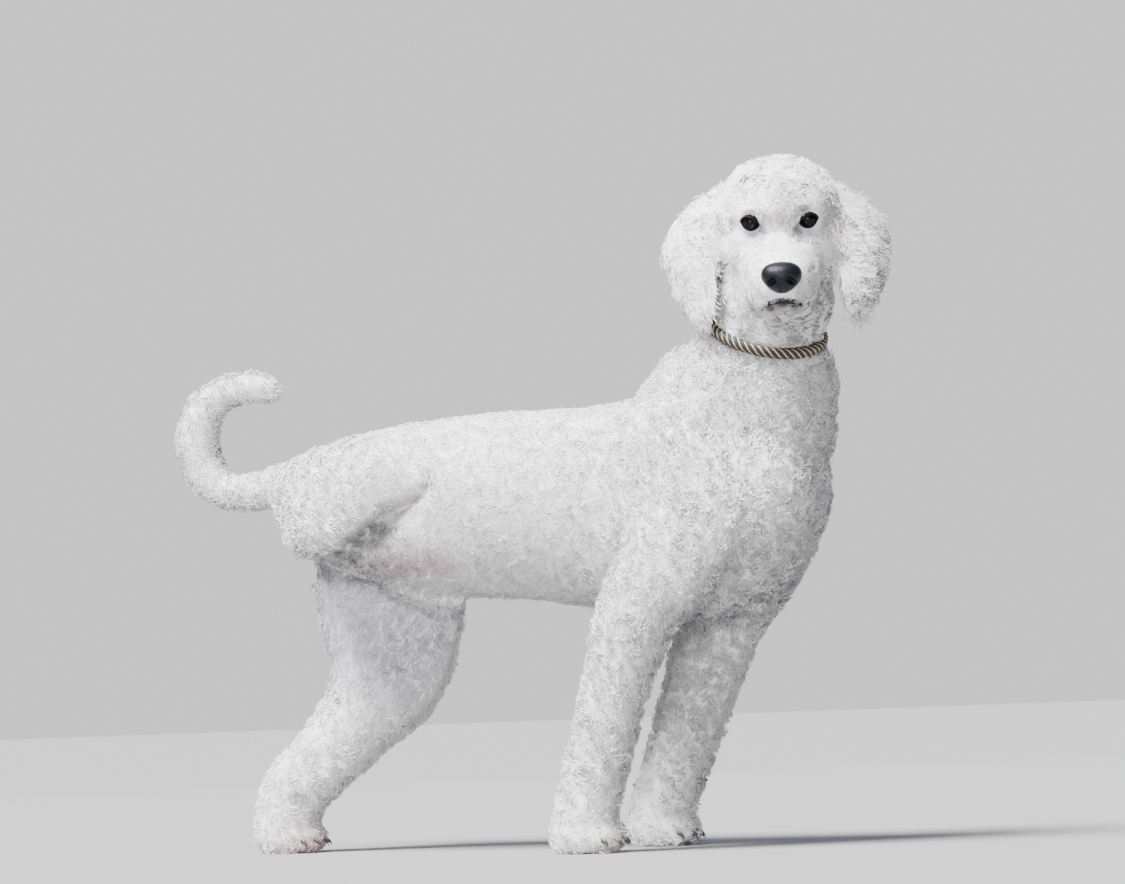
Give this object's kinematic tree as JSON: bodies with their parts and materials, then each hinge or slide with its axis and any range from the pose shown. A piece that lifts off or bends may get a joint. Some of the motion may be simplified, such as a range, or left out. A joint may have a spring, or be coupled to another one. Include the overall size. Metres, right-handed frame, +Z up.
{
  "type": "standard poodle with an amputated hind leg",
  "caption": "Still, life-size standing dog with a curly coat, head turned to its right, curled tail and a rope collar.",
  "frame": {"origin": "on the floor, below the middle of the whole dog's box", "axes": "+X the way the dog faces along its body, +Y to its left, +Z up"},
  "size_m": [1.0017, 0.3057, 0.8282],
  "materials": {
    "coat": "white curly coat, off-white in its depths",
    "nose": "black, moist",
    "eye": "dark brown, wet gloss",
    "collar": "twisted cord, black and gold strands"
  },
  "bodies": {
    "root": {"torso": "coat", "neck": "coat", "head": "coat", "nose": "nose", "eye_left": "eye", "eye_right": "eye", "ear_left": "coat", "ear_right": "coat", "collar": "collar", "tail_base": "coat", "tail_curl": "coat", "stump_right": "coat", "foreleg_right": "coat", "paw_fore_right": "coat", "foreleg_left": "coat", "paw_fore_left": "coat", "thigh_left": "coat", "lower_leg_left": "coat", "paw_hind_left": "coat"}
  },
  "joints": []
}
